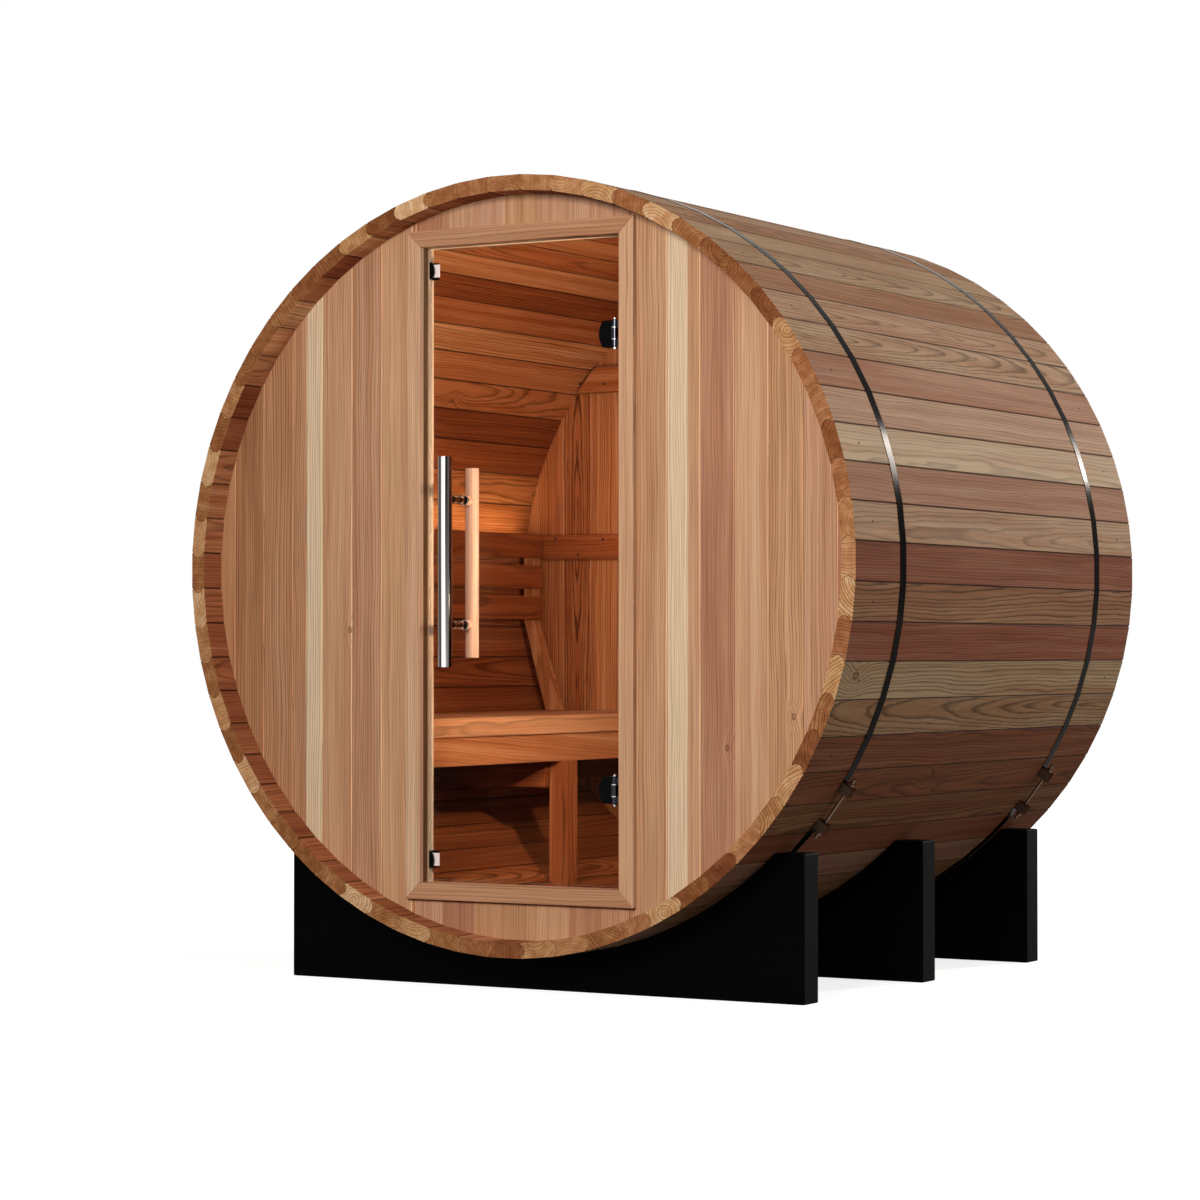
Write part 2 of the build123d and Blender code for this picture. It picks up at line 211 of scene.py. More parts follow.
    # Rings are wide in some years and narrow in others, and latewood closes each with a dark line
    rings = add(tree, "ShaderNodeMath", {0: pushed.outputs[0], 1: 1 / ring_width}, operation="MULTIPLY")
    years = add(tree, "ShaderNodeTexNoise", {"W": pushed.outputs[0], "Scale": 1 / spell_width, "Detail": 1},
                noise_dimensions="1D")
    uneven = add(tree, "ShaderNodeMath", {0: years.outputs["Fac"], 1: year_spread, 2: rings.outputs[0]},
                 operation="MULTIPLY_ADD")
    ragged = add(tree, "ShaderNodeMath", {0: fibre.outputs["Fac"], 1: ring_ragged, 2: uneven.outputs[0]},
                 operation="MULTIPLY_ADD")
    share = add(tree, "ShaderNodeMath", {0: ragged.outputs[0]}, operation="FRACT")
    latewood = add(tree, "ShaderNodeValToRGB", {"Fac": share.outputs[0]},
                   stops=((0, grey(0.1)), (0.5, grey(0.05)), (0.86, grey(1)), (0.99, grey(0.1))))

    # Colour from the board's depth and rosiness
    spread = add(tree, "ShaderNodeMath", {0: streak.outputs["Fac"], 1: streak_spread, 2: -streak_spread / 2},
                 operation="MULTIPLY_ADD")
    shade = add(tree, "ShaderNodeMath", {0: end_depth if end_grain else depth, 1: spread.outputs[0]},
                operation="ADD").outputs[0]
    steps = len(tan_shades) - 1
    tan = add(tree, "ShaderNodeValToRGB", {"Fac": shade},
              stops=[(i / steps, linear(code)) for i, code in enumerate(tan_shades)])
    rose = add(tree, "ShaderNodeValToRGB", {"Fac": shade},
               stops=[(i / steps, linear(code)) for i, code in enumerate(rosy_shades)])
    heartwood = add(tree, "ShaderNodeMix", {0: rosy, 6: tan.outputs[0], 7: rose.outputs[0]},
                    data_type="RGBA")
    past_sap = add(tree, "ShaderNodeMath", {0: place["X"], 1: sap_start}, operation="SUBTRACT")
    toward_sap = add(tree, "ShaderNodeMath", {0: past_sap.outputs[0], 1: sap_side}, operation="MULTIPLY")
    sap_share = add(tree, "ShaderNodeMapRange", {"Value": toward_sap.outputs[0], "From Max": sap_blend})
    wood = add(tree, "ShaderNodeMix",
               {0: sap_share.outputs[0], 6: heartwood.outputs[2], 7: linear(sapwood)}, data_type="RGBA")
    line = add(tree, "ShaderNodeMath", {0: latewood.outputs[0], 1: strength}, operation="MULTIPLY")
    dark_line = add(tree, "ShaderNodeMapRange",
                    {"Value": line.outputs[0], "To Min": early_lift, "To Max": darkest})
    dark_fibre = add(tree, "ShaderNodeMapRange",
                     {"Value": fibre.outputs["Fac"], "From Min": 0.25, "From Max": 0.75,
                      "To Min": fibre_shades[0] * brightness, "To Max": fibre_shades[1] * brightness})
    lines = add(tree, "ShaderNodeMath", {0: dark_line.outputs[0], 1: dark_fibre.outputs[0]},
                operation="MULTIPLY")
    lined = add(tree, "ShaderNodeVectorMath", {0: wood.outputs[2], "Scale": lines.outputs[0]},
                operation="SCALE")
    knotted = add(tree, "ShaderNodeMix",
                  {0: heart.outputs[0], 6: lined.outputs[0], 7: linear(knot_shade)}, data_type="RGBA")
    tree.links.new(knotted.outputs[2], shader.inputs["Base Color"])

    relief = add(tree, "ShaderNodeMath", {0: fibre.outputs["Fac"], 1: line.outputs[0]},
                 operation="SUBTRACT")
    bump = add(tree, "ShaderNodeBump",
               {"Height": relief.outputs[0], "Strength": wood_bump, "Distance": wood_relief})
    tree.links.new(bump.outputs[0], shader.inputs["Normal"])
    rough = add(tree, "ShaderNodeMapRange",
                {"Value": fibre.outputs["Fac"], "To Min": fibre_gloss[0], "To Max": fibre_gloss[1]})
    tree.links.new(rough.outputs[0], shader.inputs["Roughness"])
    shader.inputs["Specular IOR Level"].default_value = wood_specular
    return material


# Outdoor faces are a little greyed, planed walls fresher and the inside warmest. End grain varies most, and
# the inner sides of the overhang are rosier
outdoor_tan = ("#D0BE9C", "#BDA282", "#A57F5C", "#85593A", "#5D3821")
outdoor_rose = ("#CFB49D", "#BC937C", "#A4725C", "#8A503A", "#623321")
planed_tan = ("#DCC3A0", "#C99D77", "#B2815B", "#93603E", "#6C442B")
planed_rose = ("#DCC0A6", "#C69A80", "#AC7860", "#8F5944", "#683E2D")
indoor_tan = ("#D8A678", "#B67546", "#934D24", "#703514", "#4E210B")
indoor_rose = ("#D0966A", "#AE683C", "#8B4522", "#692E13", "#491C0A")
cut_tan = ("#DFBB92", "#C29263", "#9B653D", "#764325", "#512A15")
cut_rose = ("#DBB18B", "#BC855D", "#955C3A", "#703C23", "#4C2514")
rim_tan = ("#DFB894", "#C58E67", "#A06342", "#7A4129", "#532916")
rim_rose = ("#DCB08E", "#C08460", "#9A5C3E", "#743C27", "#4E2515")
outdoor = (outdoor_tan, outdoor_rose, "#CFC09C", "#5B3521")
planed = (planed_tan, planed_rose, "#D8BC9C", "#6A3C25")
indoor = (indoor_tan, indoor_rose, "#D8B68C", "#5B321D")
rim = (rim_tan, rim_rose, "#D8B68C", "#5B321D")
stave_wood = red_cedar("red_cedar_staves", *outdoor)
stave_ends = red_cedar("red_cedar_stave_end_grain", cut_tan, cut_rose, "#D9C4A4", "#5B3521", end_grain=True)
stave_joints = red_cedar("red_cedar_stave_joints", *outdoor, brightness=0.4)
board_wood = red_cedar("red_cedar_boards", *planed)
board_ends = red_cedar("red_cedar_board_end_grain", cut_tan, cut_rose, "#D8BC9C", "#6A3C25", end_grain=True)
# Painted highlight: lightened cedar for faces that stand lit, the wall chamfers turned to +X and the
# underside of the top casing
board_painted_highlight = red_cedar("red_cedar_painted_highlight", planed_tan, planed_rose, "#B29C78", "#6A3C25",
                        brightness=1.7)
# Painted shade: darkened cedar for the wall chamfers turned to -X
board_painted_shade = red_cedar("red_cedar_groove_painted_shade", *planed, brightness=0.55)
bench_wood = red_cedar("red_cedar_inside", *indoor, darkest=0.25)
bench_ends = red_cedar("red_cedar_inside_end_grain", *indoor, brightness=0.8)
# Dark inside joints; the same material is also painted shade on the left jamb's rebate before the glass
inside_joints_and_painted_shade = red_cedar("red_cedar_inside_joints_and_painted_shade", *indoor, brightness=0.3)
overhang_wood = red_cedar("red_cedar_overhang", *rim, brightness=1.2)
overhang_joints = red_cedar("red_cedar_overhang_joints", *rim, brightness=0.5)


# Boards from the frame's solids: merged, eased along their edges and given their place in a log
def merged_copy(node):
    """A copy of a CAD node's mesh with its triangles joined into whole faces."""
    bm = bmesh.new()
    bm.from_mesh(frame["nodes"][node].data)
    bmesh.ops.remove_doubles(bm, verts=bm.verts, dist=merge_distance)
    bmesh.ops.dissolve_limit(bm, angle_limit=flat_limit, verts=bm.verts, edges=bm.edges)
    return bm


def runs_along(edge, direction):
    low, high = (vert.co for vert in edge.verts)
    return abs((high - low).normalized().dot(direction)) > parallel_limit


def sharp_edges(bm):
    return [e for e in bm.edges if e.is_manifold and e.calc_face_angle_signed(0) > sharp_limit]


def ease(bm, edges, width=eased_edge, segments=2):
    """Rounds edges a little, as sanding does."""
    bmesh.ops.bevel(bm, geom=edges, offset=width, offset_type="OFFSET", affect="EDGES", segments=segments,
                    profile=0.5, material=-1, clamp_overlap=True)


def smooth_turns(bm):
    """Shades gentle folds as one curve and keeps sharp edges sharp."""
    for face in bm.faces:
        face.smooth = True
    for edge in bm.edges:
        edge.smooth = edge.is_manifold and edge.calc_face_angle(0) < sharp_limit


def stave_corners(bm):
    """The long corners of staves that meet in the V-shaped joint lines outside and inside."""
    reach = {vert: math.hypot(vert.co.x, vert.co.z - barrel_axis.z) for vert in bm.verts}
    inner = min(reach.values()) + eased_edge / 4
    return [e for e in bm.edges if runs_along(e, along_y) and not inner < reach[e.verts[0]] < stave_face]


def stave_folds(bm):
    """The folds between the flats of beads and coves that run the whole length."""
    low, high = fold_limits
    return [e for e in bm.edges if e.is_manifold and runs_along(e, along_y)
            and low < e.calc_face_angle(0) < high and e.calc_length() > barrel_length - MM]


def stave_end_edges(bm):
    """The edges round both ends of staves."""
    ends = barrel_length / 2 - MM
    return [e for e in sharp_edges(bm) if all(abs(vert.co.y) > ends for vert in e.verts)]


def islands(bm):
    """The separate boards of a mesh, as lists of vertices."""
    left = set(bm.verts)
    found = []
    while left:
        first = left.pop()
        board = [first]
        for vert in board:
            for edge in vert.link_edges:
                other = edge.other_vert(vert)
                if other in left:
                    left.remove(other)
                    board.append(other)
        found.append(board)
    found.sort(key=lambda board: tuple(round(c, 4) for c in middle_of(board)))
    return found


def middle_of(verts):
    low = Vector(min(v.co[i] for v in verts) for i in range(3))
    high = Vector(max(v.co[i] for v in verts) for i in range(3))
    return (low + high) / 2


def cut_boards(bm, side, joints):
    """Cuts a plate into boards at the given places along one direction."""
    boards = bmesh.new()
    for start, end in zip(joints, joints[1:]):
        board = bm.copy()
        for place, facing in ((start + board_gap / 2, -1), (end - board_gap / 2, 1)):
            everything = board.verts[:] + board.edges[:] + board.faces[:]
            bmesh.ops.bisect_plane(board, geom=everything, plane_co=side * place, plane_no=side * facing,
                                   clear_outer=True, dist=merge_distance)
            bmesh.ops.holes_fill(board, edges=[e for e in board.edges if e.is_boundary])
        if board.faces:
            spare = bpy.data.meshes.new("spare")
            board.to_mesh(spare)
            boards.from_mesh(spare)
            bpy.data.meshes.remove(spare)
        board.free()
    bm.free()
    bmesh.ops.recalc_face_normals(boards, faces=boards.faces)
    return boards


def give_grain(bm, axes_of, look_of, seed):
    """Stores each board's place in its log, its tone, its knot and its sapwood on its points."""
    layers = bm.verts.layers.float_vector
    keys = ("grain", "tone", "knot", "sap")
    grain_layer, tone_layer, knot_layer, sap_layer = (layers.new(key) for key in keys)
    for index, board in enumerate(islands(bm)):
        chance = random.Random(seed * 1000 + index)
        centre = middle_of(board)
        origin, across, through, along = axes_of(centre)
        look = dict(plain_look(chance), **look_of(centre, chance))
        pith_across, pith_through, lean = sawn[look["cut"]](chance)
        shift = chance.uniform(0, 40)
        end_depth = chance.uniform(0.12, 0.72)
        knot_across, knot_along, knot_size = look["knot"]
        sap_across, sap_side = look["sap"]
        for vert in board:
            place = vert.co - origin
            length = place.dot(along)
            depth = place.dot(through) + pith_through + lean * length
            vert[grain_layer] = (place.dot(across) + pith_across, depth, length + shift)
            vert[tone_layer] = look["tone"]
            vert[knot_layer] = (knot_across + pith_across, knot_along + shift, knot_size)
            vert[sap_layer] = (sap_across + pith_across, sap_side, end_depth)
        for face in {face for vert in board for face in vert.link_faces}:
            face.material_index = int(abs(face.normal.dot(along)) > end_limit)


def either(chance, low, high):
    """A distance to one side or the other."""
    return chance.choice((-1, 1)) * chance.uniform(low, high)


# How a board was sawn: where the pith lies across and through it, and how it leans along the board
sawn = {
    "straight": lambda chance: (either(chance, 0.09, 0.22), chance.uniform(-0.02, 0.02), 0),
    "arched": lambda chance: (chance.uniform(-0.02, 0.02), either(chance, 0.02, 0.05),
                              either(chance, 0.02, 0.05)),
    "cathedral": lambda chance: (chance.uniform(-0.01, 0.01), either(chance, 0.03, 0.05),
                                 either(chance, 0.05, 0.08)),
    "wavy": lambda chance: (either(chance, 0.03, 0.07), either(chance, 0.03, 0.06),
                            chance.uniform(-0.02, 0.02)),
}
no_knot = (0, 0, 0)
no_sap = (0, 0)


def plain_look(chance):
    """A board of middling colour, without knot or sapwood."""
    tone = (chance.uniform(0.3, 0.6), chance.uniform(0.1, 0.8), chance.uniform(0.25, 0.6))
    cut = chance.choice(("straight", "straight", "arched", "wavy"))
    return {"cut": cut, "tone": tone, "knot": no_knot, "sap": no_sap}


def finish_piece(name, bm, materials, body, slot, *nodes):
    """Turns a bmesh into a named piece that rides on a body and stands for the given nodes."""
    mesh = bpy.data.meshes.new(name)
    bm.to_mesh(mesh)
    bm.free()
    for material in materials:
        mesh.materials.append(material)
    piece = bpy.data.objects.new(name, mesh)
    bpy.context.scene.collection.objects.link(piece)
    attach(piece, body)
    if nodes:
        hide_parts(*nodes)
    return piece


# Staves, counted from the top towards +X, each with its own cut, depth, rosiness and line strength
stave_looks = {
    34: ("wavy", 0.5, 0.2, 0.8), 35: ("arched", 0.55, 0.1, 0.9), 36: ("wavy", 0.62, 0.2, 0.8),
    37: ("arched", 0.5, 0.1, 0.9), 38: ("straight", 0.6, 0.2, 0.8), 39: ("wavy", 0.56, 0.1, 0.7),
    40: ("straight", 0.66, 0.2, 0.8), 41: ("arched", 0.55, 0.2, 0.8), 42: ("straight", 0.62, 0.3, 0.7),
    43: ("wavy", 0.58, 0.1, 0.8), 44: ("straight", 0.64, 0.3, 0.6), 45: ("arched", 0.58, 0.2, 0.8),
    46: ("straight", 0.55, 0.3, 0.7), 47: ("wavy", 0.5, 0.2, 0.8), 48: ("straight", 0.52, 0.3, 0.7),
    49: ("arched", 0.46, 0.2, 0.7), 50: ("straight", 0.42, 0, 0.7), 51: ("arched", 0.42, 0.1, 0.8),
    52: ("straight", 0.6, 0.4, 0.6), 53: ("straight", 0.68, 0.3, 0.7), 54: ("arched", 0.38, 0.2, 0.8),
    55: ("wavy", 0.33, 0.1, 0.6), 56: ("straight", 0.22, 0, 1), 57: ("straight", 0.43, 0.3, 0.6),
    58: ("straight", 0.62, 0.3, 1), 59: ("straight", 0.27, 0.1, 0.7), 60: ("arched", 0.43, 0.1, 0.7),
    61: ("straight", 0.34, 0.2, 0.6), 62: ("wavy", 0.48, 0.2, 0.7),
    63: ("straight", 0.62, 0.6, 0.5), 0: ("arched", 0.4, 0.3, 0.8), 1: ("straight", 0.7, 0.4, 0.5),
    2: ("wavy", 0.45, 0.5, 0.6), 3: ("arched", 0.6, 0.2, 0.8), 4: ("straight", 0.35, 0.5, 0.6),
    5: ("arched", 0.5, 0.4, 0.8), 6: ("wavy", 0.35, 0.2, 0.8), 7: ("arched", 0.34, 0.2, 0.9),
    8: ("wavy", 0.5, 0.5, 0.8), 9: ("arched", 0.36, 0.5, 0.8), 10: ("arched", 0.35, 0.35, 1),
    11: ("straight", 0.45, 0.75, 0.5), 12: ("straight", 0.3, 0.7, 0.7), 13: ("wavy", 0.19, 0.3, 0.6),
    14: ("straight", 0.48, 0.7, 0.6), 15: ("arched", 0.36, 0.4, 0.7), 16: ("straight", 0.74, 0.85, 0.8),
    17: ("wavy", 0.6, 0.3, 1.2), 18: ("straight", 0.7, 0.95, 0.8), 19: ("wavy", 0.38, 0, 1),
    20: ("arched", 0.46, 0.15, 1.2), 21: ("wavy", 0.76, 0.6, 0.9), 22: ("arched", 0.78, 0.5, 1),
    23: ("wavy", 0.7, 0.2, 1.2),
}
# Knots by stave: place across and along it, and size
stave_knots = {19: (0.012, -0.72, 0.011), 22: (0.008, -0.1, 0.009), 29: (0.01, 0.33, 0.009),
               33: (-0.015, -0.2, 0.01), 54: (0.02, 0.1, 0.008)}


def stave_index(centre):
    turn = math.atan2(centre.x, centre.z - barrel_axis.z)
    return round(turn / (2 * math.pi) * stave_count) % stave_count


def stave_axes(centre):
    turn = stave_index(centre) / stave_count * 2 * math.pi
    outward = Vector((math.sin(turn), 0, math.cos(turn)))
    return barrel_axis + outward * stave_face, outward.cross(along_y), outward, along_y


def stave_look(centre, chance):
    """The stave's listed look, or one drawn from the same range."""
    index = stave_index(centre)
    knot = stave_knots.get(index, no_knot)
    if index not in stave_looks:
        tone = (chance.uniform(0.25, 0.75), chance.random(), chance.uniform(0.5, 1))
        return {"tone": tone, "knot": knot}
    cut, *tone = stave_looks[index]
    return {"cut": cut, "tone": tone, "knot": knot}


stave_finishes = (stave_wood, stave_ends, bench_wood, stave_joints, inside_joints_and_painted_shade, overhang_wood,
                  overhang_joints)
stave_groups = ("top", "upper_right", "right", "lower_right", "bottom", "lower_left", "left", "upper_left")
for number, group in enumerate(stave_groups):
    bm = merged_copy("staves_" + group)
    ease(bm, stave_corners(bm), joint_chamfer, segments=1)
    ease(bm, stave_folds(bm), fold_round)
    ease(bm, stave_end_edges(bm), end_chamfer, segments=1)
    bm.normal_update()
    give_grain(bm, stave_axes, stave_look, seed=10 + number)
    for face in bm.faces:
        outward = face.calc_center_median() - barrel_axis
        facing = face.normal.dot(Vector((outward.x, 0, outward.z)).normalized())
        indoors = abs(outward.y) < inside_end
        if facing < -flat_facing:
            face.material_index = 2 if indoors else 5
        elif facing < -inside_limit:
            face.material_index = 4 if indoors else 6
        elif facing < flat_facing:
            face.material_index = max(face.material_index, 3 * int(abs(face.normal.y) < end_limit))
    finish_piece("stave_boards_" + group, bm, stave_finishes, "cabin", "cedar_staves", "staves_" + group)


# End walls of upright boards
def upright_axes(centre):
    return Vector((centre.x, centre.y, barrel_axis.z)), across_x, along_y, up


# Front wall boards by the place of their middle: depth, rosiness and line strength
front_looks = {
    -777: (0.62, 0.15, 0.8), -690: (0.5, 0.25, 0.8), -604: (0.46, 0.3, 0.7), -518: (0.36, 0.3, 0.5),
    -431: (0.42, 0.5, 0.7), -345: (0.34, 0.1, 0.5), 345: (0.38, 0.2, 0.6), 431: (0.3, 0.35, 0.5),
    518: (0.5, 0.75, 0.5), 604: (0.32, 0.35, 0.4), 690: (0.4, 0.1, 0.8), 777: (0.38, 0.5, 0.6),
}
front_knots = {-518: (0.037, -0.145, 0.006), 518: (0.026, -0.412, 0.006), 690: (0.02, -0.341, 0.006)}
front_sap = {-604: (-0.006, 1), 431: (0.013, -1)}


def front_board_look(centre, chance):
    """A front wall board: straight grained, some with a knot or an edge of sapwood."""
    place = min(front_looks, key=lambda key: abs(key * MM - centre.x))
    if abs(place * MM - centre.x) > wall_board_pitch / 2:
        tone = (chance.uniform(0.3, 0.55), chance.random(), chance.uniform(0.3, 0.5))
        return {"cut": "straight", "tone": tone}
    return {"cut": "straight", "tone": front_looks[place], "knot": front_knots.get(place, no_knot),
            "sap": front_sap.get(place, no_sap)}


# Back wall boards seen through the door, listed in the same way
back_looks = {-778: (0.36, 0.5, 0.6), -692: (0.44, 0.6, 1.2), -605: (0.57, 0.7, 0.5),
              -519: (0.46, 0.6, 0.6)}
back_arched = (-692, -432, -173)


def back_board_look(centre, chance):
    """A back wall board: some with tall arches, the others straight grained."""
    place = round(round(centre.x / wall_board_pitch) * wall_board_pitch / MM)
    tone = (chance.uniform(0.25, 0.5), chance.random(), chance.uniform(0.5, 1))
    return {"cut": "cathedral" if place in back_arched else "straight", "tone": back_looks.get(place, tone)}


def wall_joints(low, high):
    """Board joints between two places, with the ends of the wall."""
    places = [(number + 0.5) * wall_board_pitch for number in range(-boards_each_side, boards_each_side)]
    return [low] + [place for place in places if low + least_board < place < high - least_board] + [high]


wall_finishes = (board_wood, board_ends, board_painted_highlight, bench_wood, board_painted_shade)
wall_nodes = ("front_wall_left", "front_wall_right", "front_wall_over_door", "front_wall_under_door",
              "back_wall")
for number, node in enumerate(wall_nodes):
    low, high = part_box(node)
    bm = cut_boards(merged_copy(node), across_x, wall_joints(low.x, high.x))
    ease(bm, [edge for edge in sharp_edges(bm) if runs_along(edge, up)], joint_chamfer, segments=1)
    bm.normal_update()
    board_look = back_board_look if node == "back_wall" else front_board_look
    give_grain(bm, upright_axes, board_look, seed=30 + number)
    indoors = -along_y if node == "back_wall" else along_y
    for face in bm.faces:
        # Chamfers turned to +X get a painted highlight and those turned to -X get painted shade
        if abs(face.normal.x) > chamfer_tilt and abs(face.normal.y) > chamfer_tilt:
            face.material_index = 2 if face.normal.x > 0 else 4
        if face.normal.dot(indoors) > flat_facing:
            face.material_index = 3
    finish_piece(node + "_boards", bm, wall_finishes, "cabin", "cedar_boards", node)


# Trim, bench and backrest boards, with the grain along their length
def grain_along(direction):
    """Board directions for a piece whose grain runs along X, Y or Z."""
    across = {"X": up, "Y": across_x, "Z": across_x}[direction]
    along = {"X": across_x, "Y": along_y, "Z": up}[direction]

    def axes(centre):
        return centre, across, along.cross(across), along
    return axes


def trim_look(chance, depth):
    return {"cut": "straight", "tone": (depth, chance.uniform(0.1, 0.5), 0.5)}


def handle_look(centre, chance):
    return {"cut": "straight", "tone": (chance.uniform(0.28, 0.34), 0.9, 0.4)}


def bench_look(chance, cut, palest, deepest):
    tone = (chance.uniform(palest, deepest), chance.uniform(0.2, 0.6), chance.uniform(0.4, 0.7))
    return {"cut": cut, "tone": tone}


# Trim pieces by node: grain direction and depth of tone. The left jamb's rebate before the glass is painted
# in shade, the top casing's underside carries a painted highlight, and the pale tones of the left jamb and
# the jamb head are partly painted light on their lit faces
glass_low, glass_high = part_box("door_glass")
trim_finishes = (board_wood, board_ends, inside_joints_and_painted_shade, board_painted_highlight)
trim_pieces = {"casing_left": ("Z", 0.22), "casing_right": ("Z", 0.28), "casing_top": ("X", 0.48),
               "casing_bottom": ("X", 0.44), "jamb_left": ("Z", 0.12), "jamb_right": ("Z", 0.3),
               "jamb_head": ("X", 0.02), "door_sill": ("X", 0.32)}
for number, (node, (direction, depth)) in enumerate(trim_pieces.items()):
    bm = merged_copy(node)
    ease(bm, sharp_edges(bm))
    give_grain(bm, grain_along(direction), lambda centre, chance: trim_look(chance, depth), seed=50 + number)
    if node == "jamb_left":
        everything = bm.verts[:] + bm.edges[:] + bm.faces[:]
        bmesh.ops.bisect_plane(bm, geom=everything, plane_co=along_y * glass_low.y, plane_no=along_y,
                               dist=merge_distance)
    # Painted shade on the left jamb's face before the glass, and a painted highlight on the underside of the
    # top casing
    for face in bm.faces:
        before_glass = face.calc_center_median().y < glass_low.y
        if node == "jamb_left" and face.normal.x > end_limit and before_glass:
            face.material_index = 2
        if node == "casing_top" and face.normal.z < -end_limit:
            face.material_index = 3
    finish_piece(node + "_board", bm, trim_finishes, "cabin", "cedar_trim", node)

# Bench pieces by node: grain direction, cut, palest and deepest tone, and easing of edges
bench_pieces = {
    "bench_seat": ("Y", "straight", 0.1, 0.15, rounded_edge),
    "bench_fascia": ("Y", "cathedral", 0.26, 0.3, eased_edge),
    "bench_leg": ("Z", "straight", 0.45, 0.5, eased_edge),
    "bench_bearers": ("X", "straight", 0.5, 0.7, eased_edge),
    "backrest_slats": ("Y", "straight", 0.5, 0.58, eased_edge),
    "backrest_brackets": ("Z", "arched", 0.25, 0.35, eased_edge),
    "back_wall_cleats": ("X", "wavy", 0.4, 0.55, eased_edge),
}
for number, (node, (direction, cut, palest, deepest, easing)) in enumerate(bench_pieces.items()):
    bm = merged_copy(node)
    ease(bm, sharp_edges(bm), easing, segments=3)
    give_grain(bm, grain_along(direction), lambda centre, chance: bench_look(chance, cut, palest, deepest),
               seed=70 + number)
    finish_piece(node + "_timber", bm, (bench_wood, bench_ends), "cabin", "cedar_inside", node)

bm = merged_copy("handle_bar")
ease(bm, sharp_edges(bm))
smooth_turns(bm)
give_grain(bm, grain_along("Z"), handle_look, seed=90)
finish_piece("handle_bar_turned", bm, (board_wood, board_ends), "door", "cedar_trim", "handle_bar")


# Black stained timber: near black, with the grain just showing in the sheen
def black_timber():
    material, tree, shader = new_material("black_stained_timber")
    place = add(tree, "ShaderNodeTexCoord").outputs["Object"]
    lengthwise = (1 / streak_length, 1 / streak_width, 1 / fibre_width)
    scale = add(tree, "ShaderNodeVectorMath", {0: place, 1: lengthwise}, operation="MULTIPLY")
    fibre = add(tree, "ShaderNodeTexNoise", {"Vector": scale.outputs[0], "Scale": 0.3, "Detail": 4})
    base = add(tree, "ShaderNodeValToRGB", {"Fac": fibre.outputs["Fac"]},
               stops=((0.3, linear("#010101")), (0.7, linear("#040303"))))
    tree.links.new(base.outputs[0], shader.inputs["Base Color"])
    rough = add(tree, "ShaderNodeMapRange", {"Value": fibre.outputs["Fac"], "To Min": 0.45, "To Max": 0.7})
    tree.links.new(rough.outputs[0], shader.inputs["Roughness"])
    bump = add(tree, "ShaderNodeBump",
               {"Height": fibre.outputs["Fac"], "Strength": wood_bump, "Distance": wood_relief})
    tree.links.new(bump.outputs[0], shader.inputs["Normal"])
    shader.inputs["Specular IOR Level"].default_value = 0.015
    return material


cradle_wood = black_timber()
for node in ("cradle_front", "cradle_middle", "cradle_back"):
    bm = merged_copy(node)
    ease(bm, sharp_edges(bm), 2 * eased_edge)
    finish_piece(node + "_timber", bm, (cradle_wood,), "cabin", "black_timber", node)


# Metals, glass and plastics
die_line_and_reflection_width = 9 * MM
die_line_and_reflection_length = 2500 * MM
peel_height = 0.1 * MM
grinding_width = 2 * MM
pane_gloss = (0.02, 0.9)
strip_strength = 50


def metal(name, code, edge_code, rough_low, rough_high, speck_mm):
    """Metal whose gloss varies a little, as handling and polishing leave it."""
    material, tree, shader = new_material(name)
    place = add(tree, "ShaderNodeTexCoord").outputs["Object"]
    cloud = add(tree, "ShaderNodeTexNoise", {"Vector": place, "Scale": 1 / (speck_mm * MM), "Detail": 3})
    rough = add(tree, "ShaderNodeMapRange",
                {"Value": cloud.outputs["Fac"], "To Min": rough_low, "To Max": rough_high})
    tree.links.new(rough.outputs[0], shader.inputs["Roughness"])
    shader.inputs["Base Color"].default_value = linear(code)
    shader.inputs["Specular Tint"].default_value = linear(edge_code)
    shader.inputs["Metallic"].default_value = 1
    return material


def lined_tube_with_painted_reflection():
    """Bright tube drawn through a die: fine lengthwise lines, drawn coarser than real so that they show,
    with dark and bright streaks in the base colour that are painted reflection.
    """
    material, tree, shader = new_material("stainless_tube_die_lines_painted_reflection")
    place = add(tree, "ShaderNodeTexCoord").outputs["Object"]
    lengthwise = (1 / die_line_and_reflection_width, 1 / die_line_and_reflection_width, 1 / die_line_and_reflection_length)
    stretched = add(tree, "ShaderNodeVectorMath", {0: place, 1: lengthwise}, operation="MULTIPLY")
    lines = add(tree, "ShaderNodeTexNoise", {"Vector": stretched.outputs[0], "Scale": 1, "Detail": 3})
    # Painted reflection: the base colour runs from near black to near white along the streaks
    base = add(tree, "ShaderNodeValToRGB", {"Fac": lines.outputs["Fac"]},
               stops=((0.36, linear("#241F1C")), (0.46, linear("#8B8682")), (0.55, linear("#FAF8F6"))))
    tree.links.new(base.outputs[0], shader.inputs["Base Color"])
    rough = add(tree, "ShaderNodeMapRange", {"Value": lines.outputs["Fac"], "To Min": 0.08, "To Max": 0.22})
    tree.links.new(rough.outputs[0], shader.inputs["Roughness"])
    shader.inputs["Metallic"].default_value = 1
    return material


def painted(name, code, rough, speck_mm):
    """Paint or moulded plastic with a fine orange-peel surface."""
    material, tree, shader = new_material(name)
    place = add(tree, "ShaderNodeTexCoord").outputs["Object"]
    peel = add(tree, "ShaderNodeTexNoise", {"Vector": place, "Scale": 1 / (speck_mm * MM), "Detail": 2})
    bump = add(tree, "ShaderNodeBump",
               {"Height": peel.outputs["Fac"], "Strength": 0.15, "Distance": peel_height})
    tree.links.new(bump.outputs[0], shader.inputs["Normal"])
    shader.inputs["Base Color"].default_value = linear(code)
    shader.inputs["Roughness"].default_value = rough
    shader.inputs["Specular IOR Level"].default_value = 0.03
    return material


